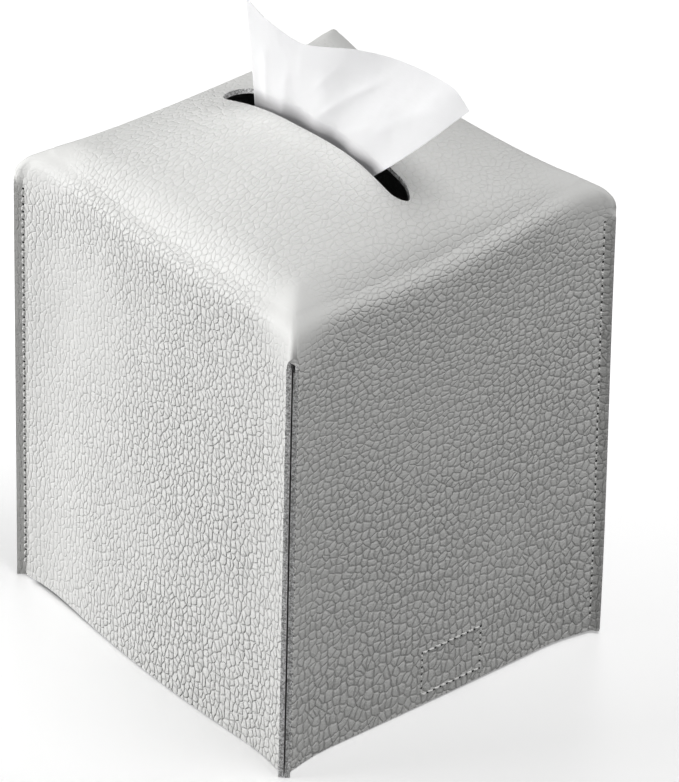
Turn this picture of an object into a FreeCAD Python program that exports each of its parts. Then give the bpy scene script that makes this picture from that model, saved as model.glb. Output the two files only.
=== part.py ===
import FreeCAD, Part
import math
import os
from FreeCAD import Vector

# Soft leather cover for a cube carton of tissues.
# One cross of lined leather is folded over the top into four walls.
# The walls are sewn together at the corners, with the raw edges turned out as seams.
# Millimetres, Z up, origin under the middle of the cover on the surface it stands on.

# Body of the cover
width = 120.0             # across the outer faces of two opposite walls
corner_height = 162.0     # top of the four corners
crown_rise = 11.0         # how far the middle of the top stands above the corners
top_sag = 7.0             # how far the top hangs below its corners in the middle of a wall
top_knot_share = 0.6      # where the spans of the top's surface meet
top_reach_share = 1.1     # the top is drawn this much wider than the cover, then cut
fold_radius = 18.0
fold_centre = 146.4       # height of the centre of a fold's round
fold_roof_angle = 65.0    # how far round a fold goes before it runs straight on, under the top
leather_thickness = 1.0
lining_thickness = 0.6

# Corner seams
seam_reach = 4.6          # how far a seam stands out past the corner of the walls
seam_gap = 0.3            # between the two lined layers of a seam
seam_root_radius = 8.0    # how the wall turns out into the seam
seam_top_radius = 8.0
seam_turn_height = 148.0  # up to here the walls turn out into the seam
ridge_angle = 40.0        # how far round the fold the ridge over a seam runs, in degrees
seam_margin = 3.0         # from the raw edge to the line of stitches

# Slot that the tissue comes out of
slot_length = 80.0
slot_width = 12.0
slot_end_sides = 6        # short straight cuts that round each end

# Stitches
stitch_pitch = 2.75
stitch_length = 2.05
stitch_width = 0.55
stitch_rise = 0.3
seam_thread_low = 4.0     # the lowest stitch of a corner, above the rim

# Straps under the carton
strap_width = 25.0
strap_thickness = 1.4
strap_offset = 4.5        # from the middle of the wall
strap_overlap = 14.0      # how far each strap reaches past the middle
strap_clearance = 3.0     # from the surface it stands on up to the lower strap
strap_tip_cut = 3.0       # the clipped corners of a strap
tab_height = 20.0         # the sewn end of a strap
tab_thickness = 1.2
patch_thickness = 1.1     # hook or loop tape
patch_length = 24.0
patch_width = 20.0
patch_inset = 2.0         # from the tip of its strap
box_stitch_width = 23.5
box_stitch_height = 15.5
box_stitch_edge = 0.6     # from the lower end of the sewn tab

# Tissue
tissue_thickness = 1.2
tissue_tail = 18.0        # how far it hangs below the corners of the cover
tissue_left = 23.2        # its two sides at the height of these corners
tissue_right = 24.5
tissue_left_spread = 5.0  # how much further out the same sides stand at the top
tissue_right_spread = 34.0
tissue_lip_wave = 1.5     # how far its folds swing at the lips
tissue_top_wave = 3.0     # the same at the top
tissue_lean = 13.0        # how far its right side falls back over the top
tissue_left_rise = 39.0   # above the corners of the cover: left corner, dip, high part, right corner
tissue_dip_rise = 34.0
tissue_high_rise = 44.5
tissue_right_rise = 38.0

# Clearances
fit_gap = 0.3
overrun = 5.0

laminate = leather_thickness + lining_thickness
half_width = width / 2
seam_half = laminate + seam_gap / 2
diagonal = math.sqrt(2)
inner_wall = half_width - laminate
lower_strap_level = strap_clearance
upper_strap_level = lower_strap_level + strap_thickness + 2 * patch_thickness + fit_gap
fold_line = inner_wall - tab_thickness - fit_gap - strap_thickness / 2


def straight(start, end):
    return Part.LineSegment(start, end).toShape()


def arc_through(start, middle, end):
    return Part.Arc(start, middle, end).toShape()


def crown_surface(inset):
    """The swelling top, of degree 2 each way: between knots a and b, 1 - t * t has the pole 1 - a * b."""
    knots = [-top_reach_share, -top_knot_share, 0, top_knot_share, top_reach_share]
    ends = [knots[0]] + knots + [knots[-1]]
    spans = list(zip(ends, ends[1:]))
    poles = []
    for left, right in spans:
        row = []
        for front, back in spans:
            x_swell = 1 - left * right
            y_swell = 1 - front * back
            height = corner_height - inset - top_sag * (x_swell + y_swell)
            height += (crown_rise + 2 * top_sag) * x_swell * y_swell
            row.append(Vector(half_width * (left + right) / 2, half_width * (front + back) / 2, height))
        poles.append(row)
    degree = 2
    counts = [degree + 1, 1, 1, 1, degree + 1]
    surface = Part.BSplineSurface()
    surface.buildFromPolesMultsKnots(poles, counts, counts, knots, knots, False, False, degree, degree)
    return surface.toShape()


def folded_prism(inset, low):
    """Two opposite walls with their folds, closed by a roof that stands clear of the top."""
    fold = fold_radius - inset
    centre = Vector(half_width - fold_radius, 0, fold_centre)
    angle = math.radians(fold_roof_angle)
    wall_low = Vector(half_width - inset, 0, low)
    wall_high = Vector(half_width - inset, 0, fold_centre)
    halfway = centre + Vector(math.cos(angle / 2), 0, math.sin(angle / 2)) * fold
    shoulder = centre + Vector(math.cos(angle), 0, math.sin(angle)) * fold
    ridge = Vector(0, 0, shoulder.z + shoulder.x / math.tan(angle))
    other = [Vector(-point.x, 0, point.z) for point in (wall_low, wall_high, halfway, shoulder)]
    edges = [
        straight(wall_low, wall_high),
        arc_through(wall_high, halfway, shoulder),
        straight(shoulder, ridge),
        straight(ridge, other[3]),
        arc_through(other[3], other[2], other[1]),
        straight(other[1], other[0]),
        straight(other[0], wall_low),
    ]
    profile = Part.Face(Part.Wire(edges))
    profile.translate(Vector(0, -width, 0))
    return profile.extrude(Vector(0, 2 * width, 0))


def body_block(inset, low):
    """The folded box without its seams, drawn in by inset, down to the height low."""
    block = folded_prism(inset, low)
    turned = block.copy()
    turned.rotate(Vector(0, 0, 0), Vector(0, 0, 1), 90)
    above = crown_surface(inset).extrude(Vector(0, 0, half_width))
    return block.common(turned).cut(above)


def seam_point(along, across):
    """A point of the plan, along the diagonal from the corner of the walls and across it."""
    return Vector(half_width + (along + across) / diagonal, half_width + (along - across) / diagonal, 0)


def turned_out_profile(inset, half_thickness, reach):
    """Plan of one corner: both walls turn out on arcs and lie together along the seam."""
    corner = half_width - inset
    root = seam_root_radius + inset
    turn = math.pi / 4
    tangent = root * math.tan(turn / 2)
    wall_end = corner - diagonal * half_thickness - tangent
    middle = Vector(wall_end + root * math.sin(turn / 2), corner + root * (1 - math.cos(turn / 2)), 0)
    left = [Vector(wall_end, corner, 0), middle]
    left.append(seam_point(tangent - half_thickness - diagonal * inset, -half_thickness))
    right = [Vector(point.y, point.x, 0) for point in left]
    tip_left = seam_point(reach, -half_thickness)
    tip_right = seam_point(reach, half_thickness)
    edges = [
        arc_through(*left),
        straight(left[2], tip_left),
        straight(tip_left, tip_right),
        straight(tip_right, right[2]),
        arc_through(right[2], right[1], right[0]),
        straight(right[0], left[0]),
    ]
    return Part.Face(Part.Wire(edges))


def ridge_profile(half_thickness, reach):
    """Plan of the pinched ridge that runs from the seam up into the top."""
    back = -diagonal * fold_radius
    points = [seam_point(along, -half_thickness) for along in (back, reach)]
    points += [seam_point(along, half_thickness) for along in (reach, back)]
    return Part.Face(Part.makePolygon(points + points[:1]))


def seam_side_profile(inset, reach, low):
    """Side view of one corner on its diagonal: the raw edges rise, bend over and run into the fold."""
    bend = seam_top_radius - inset
    fold = fold_radius - inset
    angle = math.radians(ridge_angle)
    on_fold = Vector(-diagonal * (inset + fold * (1 - math.cos(angle))), 0, 0)
    on_fold.z = fold_centre + fold * math.sin(angle)
    slope = math.atan(math.cos(angle) / math.sin(angle) / diagonal)
    outward = Vector(math.sin(slope), 0, math.cos(slope))
    bend_centre = Vector(seam_reach - seam_top_radius, 0, on_fold.z)
    bend_centre.z -= (bend + outward.x * (bend_centre.x - on_fold.x)) / outward.z
    lean = math.pi / 2 - slope
    halfway = bend_centre + Vector(math.cos(lean / 2), 0, math.sin(lean / 2)) * bend
    tip = bend_centre + Vector(bend, 0, 0)
    bend_end = bend_centre + outward * bend
    back = -diagonal * fold_radius
    outline = [tip, Vector(reach, 0, tip.z), Vector(reach, 0, low), Vector(back, 0, low)]
    outline += [Vector(back, 0, on_fold.z - fold / 2), on_fold, bend_end]
    edges = [straight(first, second) for first, second in zip(outline, outline[1:]) if first != second]
    edges.append(arc_through(bend_end, halfway, tip))
    return Part.Face(Part.Wire(edges))


def corner_block(inset, half_thickness, reach, low):
    """One corner of the cover with its seam, from the height low up to the ridge in the top."""
    plan = turned_out_profile(inset, half_thickness, reach)
    plan.translate(Vector(0, 0, low))
    turned_out = plan.extrude(Vector(0, 0, seam_turn_height - low))
    ridge = ridge_profile(half_thickness, reach)
    ridge.translate(Vector(0, 0, low))
    upright = turned_out.fuse(ridge.extrude(Vector(0, 0, corner_height - low)))
    side = seam_side_profile(inset, reach, low)
    side.translate(Vector(0, -half_width, 0))
    bend = side.extrude(Vector(0, width, 0))
    bend.rotate(Vector(0, 0, 0), Vector(0, 0, 1), 45)
    bend.translate(Vector(half_width, half_width, 0))
    return upright.common(bend)


def cover_block(inset, half_thickness, reach, low):
    """The whole closed form of the cover at one depth of its laminate."""
    block = body_block(inset, low)
    corner = corner_block(inset, half_thickness, reach, low)
    corners = []
    for turn in range(4):
        copy = corner.copy()
        copy.rotate(Vector(0, 0, 0), Vector(0, 0, 1), 90 * turn)
        corners.append(copy)
    return block.fuse(corners).removeSplitter()


def slot_block():
    """The slot with its rounded ends, through the whole top."""
    radius = slot_width / 2
    straight_half = slot_length / 2 - radius
    low = corner_height - 2 * fold_radius
    points = []
    for side in (1, -1):
        for number in range(slot_end_sides + 1):
            angle = math.pi * number / slot_end_sides
            x = side * radius * math.cos(angle)
            y = side * (straight_half + radius * math.sin(angle))
            points.append(Vector(x, y, low))
    outline = Part.Face(Part.makePolygon(points + points[:1]))
    return outline.extrude(Vector(0, 0, 2 * fold_radius + 2 * crown_rise))


def cover_and_lining():
    """The leather cross and the lining bonded to it, both with raw edges at seams, slot and rim."""
    through = seam_reach + overrun
    outside = cover_block(0, seam_half, seam_reach, 0)
    lining_half = lining_thickness + seam_gap / 2
    leather_inside = cover_block(leather_thickness, lining_half, through, -overrun)
    lining_outside = cover_block(leather_thickness, lining_half, seam_reach, 0)
    lining_inside = cover_block(laminate, seam_gap / 2, through, -overrun)
    slot = slot_block()
    leather = outside.cut([leather_inside, slot])
    lining = lining_outside.cut([lining_inside, slot])
    return leather, lining


def stitch(middle, along, outward):
    """One stitch: it rises out of the leather and dips back in."""
    across = along.cross(outward)
    half = stitch_length / 2
    corner = middle - across * (stitch_width / 2)
    points = [
        corner - along * half,
        corner + along * half,
        corner + outward * stitch_rise,
    ]
    face = Part.Face(Part.makePolygon(points + points[:1]))
    return face.extrude(across * stitch_width)


def stitch_row(start, end, outward):
    """Stitches side by side from one point to another."""
    run = end - start
    along = Vector(run).normalize()
    count = max(1, int(run.Length / stitch_pitch))
    step = run.Length / count
    return [stitch(start + along * step * (number + 0.5), along, outward) for number in range(count)]


def corner_threads():
    """Both faces of the four corner seams, each seam with its own thread."""
    names = ["back_right", "back_left", "front_left", "front_right"]
    along = seam_reach - seam_margin
    threads = {}
    for turn, name in enumerate(names):
        rows = []
        for side in (-1, 1):
            low = seam_point(along, side * seam_half)
            outward = seam_point(along, side * (seam_half + stitch_rise)) - low
            start = low + Vector(0, 0, seam_thread_low)
            rows += stitch_row(start, low + Vector(0, 0, fold_centre), outward.normalize())
        thread = Part.makeCompound(rows)
        thread.rotate(Vector(0, 0, 0), Vector(0, 0, 1), 90 * turn)
        threads["corner_thread_" + name] = thread
    return threads


def box_stitch(side, level):
    """The rectangle of stitches that sews a strap to the wall, seen from outside."""
    outward = Vector(0, side, 0)
    left = strap_offset - box_stitch_width / 2
    low = level + box_stitch_edge
    right = left + box_stitch_width
    high = low + box_stitch_height
    places = ((left, low), (right, low), (right, high), (left, high))
    corners = [Vector(x, side * half_width, z) for x, z in places]
    rows = []
    for start, end in zip(corners, corners[1:] + corners[:1]):
        rows += stitch_row(start, end, outward)
    return Part.makeCompound(rows)


def box_between(low, high):
    """A box between two opposite corners, given in any order."""
    least = Vector(*[min(pair) for pair in zip(low, high)])
    size = [abs(second - first) for first, second in zip(low, high)]
    return Part.makeBox(size[0], size[1], size[2], least)


def strap_tab(side, level):
    """The end of a strap that lies flat on the lining and is sewn through the wall."""
    left = strap_offset - strap_width / 2
    face = side * (inner_wall - tab_thickness)
    low = Vector(left, side * inner_wall, level)
    return box_between(low, Vector(left + strap_width, face, level + tab_height))


def strap_flap(side, level):
    """The free part of a strap, from its fold at the wall to its clipped tip past the middle."""
    left = strap_offset - strap_width / 2
    radius = strap_thickness / 2
    tip = -side * strap_overlap
    top = level + strap_thickness
    flap = box_between(Vector(left, side * fold_line, level), Vector(left + strap_width, tip, top))
    uprights = [edge for edge in flap.Edges if edge.BoundBox.ZLength > radius]
    edges = [edge for edge in uprights if abs(edge.BoundBox.Center.y - tip) < radius]
    flap = flap.makeChamfer(strap_tip_cut, edges)
    fold = Vector(left, side * fold_line, level + radius)
    rolled = Part.makeCylinder(radius, strap_width, fold, Vector(1, 0, 0))
    return flap.fuse(rolled).removeSplitter()


def tape_patch(side, low):
    """Hook or loop tape near the tip of the strap that comes from this side."""
    left = strap_offset - patch_width / 2
    tip = -side * (strap_overlap - patch_inset)
    end = tip + side * patch_length
    patch = box_between(Vector(left, tip, low), Vector(left + patch_width, end, low + patch_thickness))
    edges = [edge for edge in patch.Edges if edge.BoundBox.ZLength > patch_thickness / 2]
    return patch.makeChamfer(patch_inset, edges)


def tissue_section(height):
    """One level of the tissue: two soft folds between its left and right sides."""
    lip = corner_height
    share = max(0, (height - lip) / tissue_high_rise)
    wave = tissue_lip_wave + (tissue_top_wave - tissue_lip_wave) * share
    base = -slot_width / 2 + 2 * fit_gap + tissue_lip_wave
    left = Vector(base, tissue_left + tissue_left_spread * share, height)
    right = Vector(base + tissue_lean * share, -tissue_right - tissue_right_spread * share, height)
    middle = (left + right) * 0.5
    swing = Vector(wave, 0, 0)
    thick = Vector(tissue_thickness, 0, 0)
    first = (left + middle) * 0.5 - swing
    second = (middle + right) * 0.5 + swing
    edges = [
        arc_through(left, first, middle),
        arc_through(middle, second, right),
        straight(right, right + thick),
        arc_through(right + thick, second + thick, middle + thick),
        arc_through(middle + thick, first + thick, left + thick),
        straight(left + thick, left),
    ]
    return Part.Wire(edges)


def tissue_above():
    """The space over the tissue's upper edge, which runs from corner to corner in two sweeps."""
    far = tissue_right + tissue_right_spread + fold_radius
    high = corner_height + tissue_high_rise + fold_radius
    left = Vector(-half_width, tissue_left + tissue_left_spread, corner_height + tissue_left_rise)
    dip = Vector(-half_width, left.y / 2, corner_height + tissue_dip_rise)
    middle = Vector(-half_width, -left.y / 4, corner_height + tissue_left_rise)
    peak = Vector(-half_width, -tissue_right, corner_height + tissue_high_rise)
    right = Vector(-half_width, -tissue_right - tissue_right_spread, corner_height + tissue_right_rise)
    outer_left = Vector(-half_width, far, left.z)
    outer_right = Vector(-half_width, -far, right.z)
    edges = [
        straight(outer_left, left),
        arc_through(left, dip, middle),
        arc_through(middle, peak, right),
        straight(right, outer_right),
        straight(outer_right, Vector(-half_width, -far, high)),
        straight(Vector(-half_width, -far, high), Vector(-half_width, far, high)),
        straight(Vector(-half_width, far, high), outer_left),
    ]
    return Part.Face(Part.Wire(edges)).extrude(Vector(width, 0, 0))


def tissue():
    """The tissue that stands in the slot, close behind the front lip, and fans out above it."""
    tail = corner_height - tissue_tail
    below = Part.makeLoft([tissue_section(tail), tissue_section(corner_height)], True, True)
    top = corner_height + tissue_high_rise + overrun
    rise_shares = [0, 0.35, 0.7, 1]
    sections = [tissue_section(corner_height + (top - corner_height) * share) for share in rise_shares]
    fan = Part.makeLoft(sections, True, False)
    return below.fuse(fan).removeSplitter().cut(tissue_above())


def write_parts():
    """One file for each piece."""
    leather, lining = cover_and_lining()
    parts = {"outer_leather": leather, "inner_lining": lining}
    parts.update(corner_threads())
    parts["front_box_stitch"] = box_stitch(-1, lower_strap_level)
    parts["back_box_stitch"] = box_stitch(1, upper_strap_level)
    parts["front_strap_tab"] = strap_tab(-1, lower_strap_level)
    parts["back_strap_tab"] = strap_tab(1, upper_strap_level)
    parts["front_strap"] = strap_flap(-1, lower_strap_level)
    parts["back_strap"] = strap_flap(1, upper_strap_level)
    parts["hook_tape"] = tape_patch(-1, lower_strap_level + strap_thickness)
    parts["loop_tape"] = tape_patch(1, upper_strap_level - patch_thickness)
    parts["tissue"] = tissue()
    os.makedirs("parts", exist_ok=True)
    for name, shape in parts.items():
        shape.exportStep("parts/" + name + ".step")
        print(name, len(shape.Solids), "solids", round(shape.Volume), "mm3", shape.isValid())


write_parts()
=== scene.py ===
"""A soft leather cover for a cube carton of tissues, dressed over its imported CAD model."""
import math
import random

import bmesh
import bpy
from mathutils import Matrix, Vector, noise


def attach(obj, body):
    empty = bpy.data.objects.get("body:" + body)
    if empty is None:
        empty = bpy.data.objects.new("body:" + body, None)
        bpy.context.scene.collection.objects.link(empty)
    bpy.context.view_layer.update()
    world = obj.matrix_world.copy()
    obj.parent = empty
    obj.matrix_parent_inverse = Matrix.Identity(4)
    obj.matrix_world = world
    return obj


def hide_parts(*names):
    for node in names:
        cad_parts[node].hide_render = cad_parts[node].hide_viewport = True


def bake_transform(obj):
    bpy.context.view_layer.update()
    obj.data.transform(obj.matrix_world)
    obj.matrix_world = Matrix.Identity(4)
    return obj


MM = 0.001

# Sizes of the cover, in mm
HALF_WIDTH = 60.0
CORNER_HEIGHT = 162.0        # where the folds would meet at a corner, before they are rounded
FOLD_RADIUS = 13.0
CORNER_POWER = 5.0           # how tightly the upright corner over a seam is rounded
CROWN_RISE = 11.0            # middle of the top over the corners
# how far the middle of each fold hangs under the corners
FOLD_SAGS = {"left": 4.0, "front": 4.0, "right": 7.6, "back": 6.4}
CROWN_FROM = 80.0            # from here up the walls follow the crown's rise and sag
LEATHER = 1.0
LINING = 0.6
LINING_GAP = 0.02            # keeps its face off the leather's
LINING_PRESS = 0.12          # how much thinner it is pressed, so that a seam's layers stay apart
SEAM_HALF = 1.75             # half of a seam's two layers
SEAM_REACH = 4.6             # raw edges past the corner of the walls, along the diagonal
SEAM_PULL = 0.24             # how far the stitches pull each layer towards the other
PULL_REACH = 2.2             # how far from their line they pull
FLANK_LENGTH = 2.5           # leather outside the sharp fold along the stitches
CREASE_RADIUS = 1.2          # of the sharp fold
FLARE_TURN = math.radians(15)   # how far the wall turns out before the sharp fold
# from the raw edges of each seam to its stitches
STITCH_MARGINS = {"front_left": 1.5, "front_right": 3.3, "back_right": 2.8, "back_left": 2.6}
STITCH_PITCH = 2.75
STITCH_LENGTH = 2.15
STITCH_WIDTH = 0.7
STITCH_DIP = 0.28            # how far its ends go down into the leather
STITCH_LIFT = 0.12
STITCH_TILT = 7              # degrees off the line of stitches
HOLE_RADIUS = 0.32
THREAD_LOW = 4.0             # lower end of a corner's stitches
THREAD_TOP = 145.0
BOX_STITCH = (23.5, 15.5)    # width and height of the rectangle over a strap's sewn end
FRONT_BOX_LOW = 3.8          # its lower side
BACK_BOX_LOW = 7.6
SLIT_TOP = 148.9             # above it both walls are one piece of leather
SLIT_ROUND = 4.0             # height over which the raw edges round over to each other, under it
SEAM_FADE = (148.0, 161.0)   # heights between which a seam rounds over into the fold
SLOT_HALF_WIDTH = 6.0
SLOT_HALF_LENGTH = 40.0
SLOT_EASE = 12.0             # how far round the slot the grid bends to its rounded ends
BACK_LIP_LEAN = 2.0          # the soft lip behind the tissue leans in over the slot
FRONT_LIP_LEAN = 3.0         # the lip before it leans in at the slot's right end
LEAN_REACH = 45.0            # from the slot's middle line out to where the leather no longer leans
FADE_LENGTH = 16.0           # past the slot's end, where the front lip's lean fades out
RIGHT_TIP_SHIFT = 1.7        # how far the slot's ends lie off their places
LEFT_TIP_SHIFT = 1.4
DIAGONAL = math.sqrt(2)

CREASE_OUT = CREASE_RADIUS * (math.cos(FLARE_TURN) - math.cos(math.pi / 4))
CREASE_RUN = CREASE_RADIUS * (math.sin(math.pi / 4) - math.sin(FLARE_TURN))
FLARE_OUT = (SEAM_REACH + SEAM_HALF - FLANK_LENGTH) / DIAGONAL - CREASE_OUT
FLARE_RADIUS = FLARE_OUT / (1 - math.cos(FLARE_TURN))
FLARE_RUN = FLARE_RADIUS * math.sin(FLARE_TURN)
WALL_END = HALF_WIDTH - DIAGONAL * SEAM_HALF + FLARE_OUT + CREASE_OUT - FLARE_RUN - CREASE_RUN
FLARE_LENGTH = FLARE_RADIUS * FLARE_TURN
CREASE_LENGTH = CREASE_RADIUS * (math.pi / 4 - FLARE_TURN)
# flat leather from the middle of a wall to its raw edge
WALL_REACH = WALL_END + FLARE_LENGTH + CREASE_LENGTH + FLANK_LENGTH

# Each wall: its outward normal and the way along it, to the right as seen from outside
WALLS = {
    "left": (Vector((-1, 0, 0)), Vector((0, -1, 0))),
    "front": (Vector((0, -1, 0)), Vector((1, 0, 0))),
    "right": (Vector((1, 0, 0)), Vector((0, 1, 0))),
    "back": (Vector((0, 1, 0)), Vector((-1, 0, 0))),
}

# How the soft walls stand: shifts of the lower and upper corners, how far each wall bows out at
# its rim, and how far up
LOWER_SHIFTS = {
    (-1, -1): (0.6, -0.5, 0), (-1, 1): (3.4, 3.8, 0.5),
    (1, -1): (-3.5, -4.9, 0.9), (1, 1): (0, 0, 0),
}
UPPER_SHIFTS = {
    (-1, -1): (0.4, -0.4, 0), (-1, 1): (0.1, -0.1, 0),
    (1, -1): (-0.9, 0.8, 1.2), (1, 1): (-2.0, 0.2, -0.3),
}
WALL_BOWS = {"left": 3.6, "front": 0.4, "right": 1.6, "back": 1.2}
BOW_HEIGHT = 95.0

# How the leather is divided: a cube's face of the grid, from its edge to its middle
SLOT_CELLS = 11              # one in so many lies over the slot's half width
EVEN_SHARE = 0.704           # the smaller, the more the others widen towards the slot
TIP_SHARE = 0.409            # this share lies between the edge and the slot's tip
FINE_ROWS = 138.0            # above this height the rows are closer
FINE_SHARE = 0.75            # this share of the rows lies below it
EASE_LENGTH = 18.0           # near a corner the flat leather is longer than the wall
CUBE_FACE = 0.999            # past this, a place on the unit cube lies in its face

# Straps and tapes, in mm
STRAP_WIDTH = 25.0
STRAP_THICKNESS = 1.4
STRAP_OFFSET = 4.5
STRAP_OVERLAP = 14.0
STRAP_BEND = 1.6             # radius of the fold between tab and strap
STRAP_WAVE = 0.25            # how far a soft strap's edges rise and fall
STRAP_WAVE_LENGTH = 11.0
TAB_THICKNESS = 1.2
TAB_HEIGHT = 20.0
TAB_ROWS = (0, 4, 8, 12, 15)   # places down the tab
FOLD_ROWS = 7
RUN_ROWS = 24
STRAP_COLUMNS = 13
TIP_ROUND = 4.0
HIDE_SHIFT = 200.0           # the straps are cut from the hide beside the cover
TAPE_THICKNESS = 1.1
TAPE_LENGTH = 24.0
TAPE_WIDTH = 20.0
TAPE_INSET = 2.0
TAPE_CELLS = (40, 48)
TAPE_BORDER = (0.6, 1.8)     # the woven border has no pile
PILE = 0.18
LOWER_LEVEL = 3.0
UPPER_LEVEL = 6.9


def clamp(value, low=0.0, high=1.0):
    return min(high, max(low, value))


def smooth(value, low=0.0, high=1.0):
    share = clamp((value - low) / (high - low))
    return share * share * (3 - 2 * share)


def soft(point):
    """How the soft cover stands: its rim is racked a little and its walls bow. Works in mm."""
    x_share = clamp(point.x / HALF_WIDTH, -1.0)
    y_share = clamp(point.y / HALF_WIDTH, -1.0)
    low = 1 - smooth(point.z, 0, CORNER_HEIGHT)
    moved = point.copy()
    for (x_side, y_side), shift in LOWER_SHIFTS.items():
        weight = (1 + x_side * x_share) * (1 + y_side * y_share) / 4
        upper = UPPER_SHIFTS[(x_side, y_side)]
        moved += weight * (Vector(shift) * low + Vector(upper) * (1 - low))
    fade = 1 - smooth(point.z, 0, BOW_HEIGHT)
    for name, (normal, along) in WALLS.items():
        out = max(0.0, point.dot(normal) / HALF_WIDTH)
        across = clamp(point.dot(along) / HALF_WIDTH, -1.0)
        bow = WALL_BOWS[name] * fade * min(1, out) ** 3 * math.cos(across * math.pi / 2)
        moved += normal * bow
    return moved


def crown(x, y):
    """Height of the top over its corners."""
    x_share = math.cos(math.pi / 2 * min(1, abs(x) / HALF_WIDTH))
    y_share = math.cos(math.pi / 2 * min(1, abs(y) / HALF_WIDTH))
    x_sag = FOLD_SAGS["right" if x > 0 else "left"] * y_share * (1 - x_share)
    y_sag = FOLD_SAGS["back" if y > 0 else "front"] * x_share * (1 - y_share)
    return CROWN_RISE * x_share * y_share - x_sag - y_sag


def folded_box(point):
    """A point on the sharp box, moved onto the box with its folds and upright corners rounded."""
    flat = HALF_WIDTH - FOLD_RADIUS
    level = CORNER_HEIGHT - FOLD_RADIUS
    over = [max(0.0, abs(value) - flat) / FOLD_RADIUS for value in (point.x, point.y)]
    up = max(0.0, point.z - level) / FOLD_RADIUS
    side = (over[0] ** CORNER_POWER + over[1] ** CORNER_POWER) ** (1 / CORNER_POWER)
    size = math.hypot(side, up)
    if size < 1e-6:
        return point.copy()
    x = math.copysign(min(abs(point.x), flat) + over[0] * FOLD_RADIUS / size, point.x)
    y = math.copysign(min(abs(point.y), flat) + over[1] * FOLD_RADIUS / size, point.y)
    z = min(point.z, level) + up * FOLD_RADIUS / size
    z += crown(point.x, point.y) * smooth(point.z, CROWN_FROM, level)
    return Vector((x, y, z))


def seam_section(wall, flat, z):
    """A point of a wall that turns out into its seams, flat being the leather's length from the
    wall's middle."""
    normal, along = WALLS[wall]
    side = math.copysign(1, flat)
    reach = abs(flat)
    if reach <= WALL_END:
        return normal * HALF_WIDTH + along * flat + Vector((0, 0, z))
    turn = min(FLARE_TURN, (reach - WALL_END) / FLARE_RADIUS)
    run = WALL_END + FLARE_RADIUS * math.sin(turn)
    out = HALF_WIDTH + FLARE_RADIUS * (1 - math.cos(turn))
    past = max(0.0, reach - WALL_END - FLARE_LENGTH)
    turn = FLARE_TURN + min(math.pi / 4 - FLARE_TURN, past / CREASE_RADIUS)
    run += CREASE_RADIUS * (math.sin(turn) - math.sin(FLARE_TURN))
    out += CREASE_RADIUS * (math.cos(FLARE_TURN) - math.cos(turn))
    left = past - CREASE_LENGTH
    # the stitches pull both layers together
    off_line = abs(reach - WALL_REACH + FLANK_LENGTH)
    pull = SEAM_PULL * (1 - smooth(off_line, 0.0, PULL_REACH)) / DIAGONAL
    run += pull
    out -= pull
    if left > 0:
        edge = FLANK_LENGTH - left
        # under the slit's top the raw edge rounds over to the other layer's
        closing = 1 - math.sqrt(1 - clamp((z - SLIT_TOP + SLIT_ROUND) / SLIT_ROUND) ** 2)
        turn = math.pi / 2 * max(0.0, 1 - edge / (DIAGONAL * SEAM_HALF))
        nose = FLANK_LENGTH - SEAM_HALF * (1 - math.sin(turn)) - edge * (1 - 1 / DIAGONAL)
        ahead = left + closing * (nose - left) * (turn > 0)
        inward = closing * SEAM_HALF * (1 - math.cos(turn))
        run += (ahead + inward) / DIAGONAL
        out += (ahead - inward) / DIAGONAL
    return normal * out + along * (side * run) + Vector((0, 0, z))


def cover_point(wall, upper, flat, z):
    """A point of the cover's outside, from its wall or top, its place on the sharp box, and its
    place along the leather and in height where the walls turn out into the seams."""
    box_point = folded_box(upper)
    if wall == "top":
        return soft(box_point)
    low, high = SEAM_FADE
    share = (1 - clamp((z - low) / (high - low)) ** 2) ** 1.5
    if share == 0:
        return soft(box_point)
    lower = seam_section(wall, flat, box_point.z)
    return soft(box_point.lerp(lower, share))


def deselect():
    for piece in bpy.context.selected_objects:
        piece.select_set(False)


def only(piece):
    deselect()
    piece.select_set(True)
    bpy.context.view_layer.objects.active = piece


def edit(piece):
    only(piece)
    bpy.ops.object.mode_set(mode="EDIT")


def leave_edit():
    bpy.ops.object.mode_set(mode="OBJECT")


def thicken(piece, thickness, offset=-1, cut_edges=False):
    """Gives a sheet its thickness in metres, and its cut edges the next material."""
    solid = piece.modifiers.new("thickness", "SOLIDIFY")
    solid.thickness = thickness
    solid.offset = offset
    if cut_edges:
        solid.use_even_offset = True
        solid.material_offset_rim = 1


def apply_modifiers(piece):
    only(piece)
    for modifier in list(piece.modifiers):
        bpy.ops.object.modifier_apply(modifier=modifier.name)


def shade(piece, degrees):
    only(piece)
    bpy.ops.object.shade_smooth_by_angle(angle=math.radians(degrees))


def join(pieces, name):
    deselect()
    for piece in pieces:
        piece.select_set(True)
    bpy.context.view_layer.objects.active = pieces[0]
    bpy.ops.object.join()
    piece = bpy.context.object
    piece.name = name
    piece.data.name = name
    return piece


def grid_places(cells):
    """Places of the grid lines from a corner to the middle, in mm, across and along the slot."""
    half = cells // 2
    slot_cells = half // SLOT_CELLS
    rest = half - slot_cells
    across = []
    for number in range(rest + 1):
        share = number / rest
        widening = EVEN_SHARE * share + (1 - EVEN_SHARE) * share ** 2
        across.append((HALF_WIDTH - SLOT_HALF_WIDTH) * widening)
    for number in range(slot_cells):
        across.append(HALF_WIDTH - SLOT_HALF_WIDTH * (1 - (number + 1) / slot_cells))
    tip_cells = round(half * TIP_SHARE)
    scale = (HALF_WIDTH - SLOT_HALF_LENGTH) / across[tip_cells]
    along = [place * scale for place in across[:tip_cells + 1]]
    step = SLOT_HALF_LENGTH / (half - tip_cells)
    for number in range(half - tip_cells):
        along.append(HALF_WIDTH - SLOT_HALF_LENGTH + step * (number + 1))
    return across, along, slot_cells, tip_cells


def flat_place(place):
    """From a place measured from a corner to the leather's length from its raw edge."""
    return place + (WALL_REACH - HALF_WIDTH) * smooth(place, 0, EASE_LENGTH)


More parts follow.
